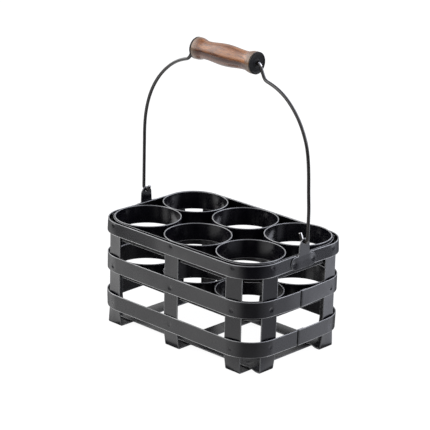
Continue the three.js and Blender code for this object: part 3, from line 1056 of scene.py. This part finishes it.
def make_bail(coat, steel):
    right = wire_side(RIGHT_TAIL_RISE, RIGHT_OUT_BUMPS, RIGHT_UP_BUMPS, RIGHT_NECK_RISE)
    left = wire_side(LEFT_TAIL_RISE, LEFT_OUT_BUMPS, LEFT_UP_BUMPS, LEFT_NECK_RISE)
    top = [(x, GRIP_HEIGHT, pi, WIRE_RADIUS) for x in GRIP_RUN_X]
    mirrored = [(-x, z, pi - heading, radius) for x, z, heading, radius in reversed(left)]
    turns = [2 * pi * i / WIRE_SIDES for i in range(WIRE_SIDES)]
    rows = []
    for x, z, heading, radius in [*right, *top, *mirrored]:
        circle = [(radius * cos(turn), radius * sin(turn)) for turn in turns]
        rows.append([
            Vector((x - out * sin(heading), depth, z + out * cos(heading)))
            for out, depth in circle
        ])
    vertices, faces = loft(rows)
    root = [place[:3] for place in right if ROOT_BARE_HIGHLIGHT[0] < place[0] < ROOT_BARE_HIGHLIGHT[1] and place[1] > ROOT_LOW]
    lean = radians(TAIL_LEAN)

    def material_of(centre):
        """1 where the face at a centre is bare metal, on the cut ends and as a painted highlight on the
        tails and the root, otherwise 0.
        """
        tail_top = TAIL_TOP + (RIGHT_TAIL_RISE if centre.x > 0 else LEFT_TAIL_RISE)
        if TIP_RANGE[0] < centre.z - tail_top < TIP_RANGE[1] and abs(centre.x) < TIP_X:
            return 1
        if HINGE_HEIGHT + WIRE_RADIUS < centre.z < tail_top and abs(centre.x) < TAIL_SIDE_X:
            from_axis = abs(centre.x) - TAIL_X - (TAIL_TOP - centre.z) * tan(lean)
            return int(from_axis * cos(lean) > TAIL_BARE_HIGHLIGHT_SHARE * WIRE_RADIUS)
        if not ROOT_BARE_HIGHLIGHT[0] < centre.x < ROOT_BARE_HIGHLIGHT[1] or centre.z < ROOT_LOW:
            return 0
        x, z, heading = min(root, key=lambda spot: hypot(centre.x - spot[0], centre.z - spot[1]))
        outward = (centre.x - x) * sin(heading) - (centre.z - z) * cos(heading)
        return int(outward > ROOT_BARE_HIGHLIGHT_SHARE * WIRE_RADIUS)

    build_piece("bail", vertices, faces, [coat, steel], "bail", material_of=material_of)


def grip_radius(x):
    """Radius of the grip: a swelling in the middle, a neck on each side and flared ends."""
    place = abs(x)
    if place < GRIP_NECK_X:
        wave = (1 + cos(pi * place / GRIP_NECK_X)) / 2
        return GRIP_NECK_RADIUS + (GRIP_MIDDLE_RADIUS - GRIP_NECK_RADIUS) * wave
    flare = min(1.0, (place - GRIP_NECK_X) / (WOOD_HALF - GRIP_RIM - GRIP_NECK_X))
    wave = (1 - cos(pi * flare)) / 2
    return GRIP_NECK_RADIUS + (GRIP_END_RADIUS - GRIP_NECK_RADIUS) * wave


def lathe_x(profile):
    """Turns a closed profile of (x, radius) points about the grip's axis."""
    rows = []
    for i in range(GRIP_SIDES):
        angle = 2 * pi * i / GRIP_SIDES
        rows.append([
            Vector((x, radius * cos(angle), GRIP_HEIGHT + radius * sin(angle)))
            for x, radius in profile
        ])
    return loft(rows, closed=True)


def make_grip(wood):
    shoulder = GRIP_END_RADIUS - GRIP_END_BEVEL
    profile = [(-WOOD_HALF, GRIP_BORE_RADIUS), (-WOOD_HALF, shoulder)]
    for i in range(GRIP_STATIONS + 1):
        x = (WOOD_HALF - GRIP_END_BEVEL) * (2 * i / GRIP_STATIONS - 1)
        tooling = sum(height * sin(x * rate + phase) for height, rate, phase in TOOL_MARKS)
        profile.append((x, grip_radius(x) + tooling))
    profile += [(WOOD_HALF, shoulder), (WOOD_HALF, GRIP_BORE_RADIUS)]
    vertices, faces = lathe_x(profile)
    build_piece("grip", vertices, faces, [wood], "grip", sharp=30.0)


def make_cap(name, side, black):
    low = WOOD_HALF + CAP_GAP
    high = GRIP_LENGTH / 2
    rim = GRIP_END_RADIUS
    profile = [(low, GRIP_BORE_RADIUS), (low, rim - CAP_BEVEL), (low + CAP_BEVEL, rim)]
    profile += [(high - back, rim - inset) for back, inset in quarter_round(CAP_ROUND)]
    profile += [(high - depth, rim - inset) for depth, inset in CAP_RIM_FACE]
    profile += [(high - depth, GRIP_BORE_RADIUS + wall) for depth, wall in CAP_BORE_FACE]
    vertices, faces = lathe_x([(side * x, radius) for x, radius in profile])
    build_piece(name, vertices, faces, [black], "grip", sharp=50.0)


def make_camera():
    data = bpy.data.cameras.new("camera")
    data.lens = CAMERA_LENS
    data.sensor_width = SENSOR_WIDTH
    data.clip_start = CLIP_NEAR
    data.clip_end = CLIP_FAR
    camera = add_object("camera", data)
    camera.matrix_world = (
        Matrix.Translation((0.0, 0.0, CAMERA_TARGET_HEIGHT * MM))
        @ Matrix.Rotation(radians(CAMERA_AZIMUTH), 4, "Z")
        @ Matrix.Translation((CAMERA_SIDESTEP * MM, 0.0, 0.0))
        @ Matrix.Rotation(radians(90 - CAMERA_ELEVATION), 4, "X")
        @ Matrix.Translation((0.0, 0.0, CAMERA_DISTANCE * MM))
        @ Matrix.Rotation(radians(CAMERA_ROLL), 4, "Z")
    )
    bpy.context.scene.camera = camera


def make_sheet(name, material_name, points, gray, roughness, glow):
    """One flat face with a matt material that shines evenly."""
    mesh = bpy.data.meshes.new(name)
    mesh.from_pydata(points, [], [tuple(range(len(points)))])
    material, graph, shader = new_material(material_name)
    graph.feed(shader, {
        "Base Color": (gray, gray, gray),
        "Roughness": roughness,
        "Specular IOR Level": 0.0,
        "Emission Color": (1.0, 1.0, 1.0),
        "Emission Strength": glow,
    })
    mesh.materials.append(material)
    return add_object(name, mesh)


def make_floor():
    corners = [(x * FLOOR_HALF, y * FLOOR_HALF, 0.0) for x, y in ((-1, -1), (1, -1), (1, 1), (-1, 1))]
    floor = make_sheet("floor", "pale_floor", corners, gray=0.08, roughness=0.9, glow=0.94)
    floor.visible_glossy = False


def make_shade():
    """A dark sheet under and behind the rack, which only reflections see: painted shade for the floor in the
    rack's shadow.
    """
    loop = Loop(BAND_HALF_X + SHADE_MARGIN, BAND_HALF_Y + SHADE_MARGIN, BAND_CORNER + SHADE_MARGIN)
    rim = [loop.at(loop.length * i / SHADE_SIDES)[0] for i in range(SHADE_SIDES)]
    points = [(p.x * MM, (p.y + SHADE_BEHIND * (p.y > 0)) * MM, -SHADE_DEPTH * MM) for p in rim]
    shade = make_sheet("shade", "shaded_floor", points, gray=0.0, roughness=1.0, glow=0.2)
    shade.visible_camera = False
    shade.visible_diffuse = False
    shade.visible_shadow = False
    shade.visible_transmission = False


# Brightness of the table by azimuth, in degrees from the camera's side, positive to its right.
TABLE_TURN = [
    (-180, 0.3), (-150, 0.35), (-132, 1.2), (-115, 2.7), (-98, 2.8), (-87, 2.3), (-72, 2.1), (-55, 2.0),
    (-40, 1.5), (-28, 0.5), (-16, 0.05), (0, 0.04), (24, 0.05), (45, 0.6), (65, 0.95), (80, 1.0),
    (87, 1.4), (94, 2.3), (102, 3.1), (114, 2.5), (126, 1.3), (140, 0.4), (155, 0.15), (180, 0.3),
]
# Share of that brightness by height of the direction, from straight down to straight up.
TABLE_BELT = [
    (-1.0, 0.2), (-0.6, 0.25), (-0.46, 0.3), (-0.41, 0.35), (-0.375, 0.42), (-0.345, 1.3),
    (-0.325, 1.0), (-0.3, 0.5), (-0.25, 0.08), (-0.08, 0.05), (0.02, 0.0),
]
# Brightness of the two large soft boxes and what lies between them, by azimuth.
SOFTBOX_TURN = [
    (-180, 0.9), (-155, 1.2), (-128, 4.3), (-90, 4.5), (-55, 4.0), (-30, 1.1), (-10, 0.18), (25, 0.18),
    (48, 1.6), (70, 4.0), (105, 4.3), (132, 3.2), (158, 1.2), (180, 0.9),
]
SOFTBOX_BELT = [(-1.0, 0.0), (-0.03, 0.0), (0.06, 0.5), (0.2, 1.0), (0.68, 1.0), (0.9, 0.45), (1.0, 0.3)]
# Brightness from below, whatever the azimuth.
BELOW = [(-1.0, 2.0), (-0.72, 1.35), (-0.55, 0.7), (-0.42, 0.5), (-0.36, 0.0), (1.0, 0.0)]
STUDIO_PEAK = 4.5
BACKDROP = 1.1
# The light is a little cooler between these azimuths, on the right, and between these heights.
COOL_TURN = (40, 160)
COOL_BELT = (0.7, 1.1)
COOL_TINT = (0.945, 0.972, 1.08)


def light_ramp(graph, value, reach, stops, span, cool, peak=1.0):
    """The light by a value from -reach to reach, through (place, brightness) stops from -span to span."""
    tones = []
    for at, level in stops:
        tint = COOL_TINT if cool[0] < at < cool[1] else (1.0, 1.0, 1.0)
        tones.append(((at / span + 1) / 2, tuple(level / peak * part for part in tint)))
    return graph.ramp(graph.remap(value, 0.0, 1.0, -reach, reach), tones)


def make_world():
    """A bright studio with a dark sector on the camera's side, and a white backdrop for the camera."""
    world = bpy.data.worlds.new("studio")
    bpy.context.scene.world = world
    world.use_nodes = True
    graph = Graph(world.node_tree)
    azimuth = radians(CAMERA_AZIMUTH)
    direction = graph.add("TexCoord", "Generated", {})
    sideways = (cos(azimuth), sin(azimuth), 0.0)
    towards = (sin(azimuth), -cos(azimuth), 0.0)
    parts = [
        graph.add("VectorMath", "Value", {0: direction, 1: axis}, operation="DOT_PRODUCT")
        for axis in (sideways, towards)
    ]
    angle = graph.math("ARCTAN2", *parts)
    height = graph.split(direction)["Z"]
    lit = []
    for turn, belt in ((TABLE_TURN, TABLE_BELT), (SOFTBOX_TURN, SOFTBOX_BELT)):
        around = light_ramp(graph, angle, pi, turn, 180, COOL_TURN, STUDIO_PEAK)
        lit.append(graph.mix(1.0, around, light_ramp(graph, height, 1, belt, 1, COOL_BELT), "MULTIPLY"))
    below = light_ramp(graph, height, 1, BELOW, 1, COOL_BELT, STUDIO_PEAK)
    seen_by_part = graph.mix(1.0, graph.mix(1.0, *lit, "ADD"), below, "ADD")
    to_camera = graph.add("LightPath", "Is Camera Ray", {})
    plain = (BACKDROP / STUDIO_PEAK,) * 3
    seen = graph.mix(to_camera, seen_by_part, plain)
    graph.feed(graph.nodes["Background"], {"Color": seen, "Strength": STUDIO_PEAK})


make_camera()
make_floor()
make_shade()
make_world()
bpy.context.scene.view_settings.view_transform = "Standard"

COAT = black_coat("black_coat", dark=(0.0006, 0.0005, 0.0015), light=(0.0012, 0.001, 0.0024), specular=0.5)
# The liners get a duller copy of the coat, which paints onto them the shade between the bands and the rings.
SHADED_LINER_COAT = black_coat("shaded_liner_coat", dark=(0.001, 0.001, 0.0012), light=(0.002, 0.002, 0.0023), specular=0.12)
WIRE_COAT = black_coat("wire_coat", dark=(0.01, 0.0086, 0.0083), light=(0.015, 0.0132, 0.0127), specular=0.5)
for band_name in BAND_NAMES:
    make_band(band_name, COAT)
for ring_level in RING_LEVELS:
    make_liner(ring_level, SHADED_LINER_COAT)
    for ring_number in range(1, RING_COUNT + 1):
        make_ring(ring_level, ring_number, COAT)
for strap_name, strap_place in (("left", -1), ("middle", 0), ("right", 1)):
    make_strap(f"strap_cross_{strap_name}", strap_place * CROSS_STRAP_OFFSET, CROSS_FOOT_HALF,
               BAND_HALF_X, BAND_HALF_Y, COAT)
for strap_name, strap_place in (("front", -1), ("back", 1)):
    make_strap(f"strap_long_{strap_name}", strap_place * LONG_STRAP_OFFSET, LONG_FOOT_HALF,
               BAND_HALF_Y, BAND_HALF_X, COAT, lift=LONG_BASE_LIFT,
               crossings=(-CROSS_STRAP_OFFSET, 0.0, CROSS_STRAP_OFFSET), turned=True)
make_ear("ear_left", -1, COAT)
make_ear("ear_right", 1, COAT)
make_bail(WIRE_COAT, bare_steel_and_highlight())
make_grip(turned_wood())
CAP = cap_black()
make_cap("grip_cap_left", -1, CAP)
make_cap("grip_cap_right", 1, CAP)
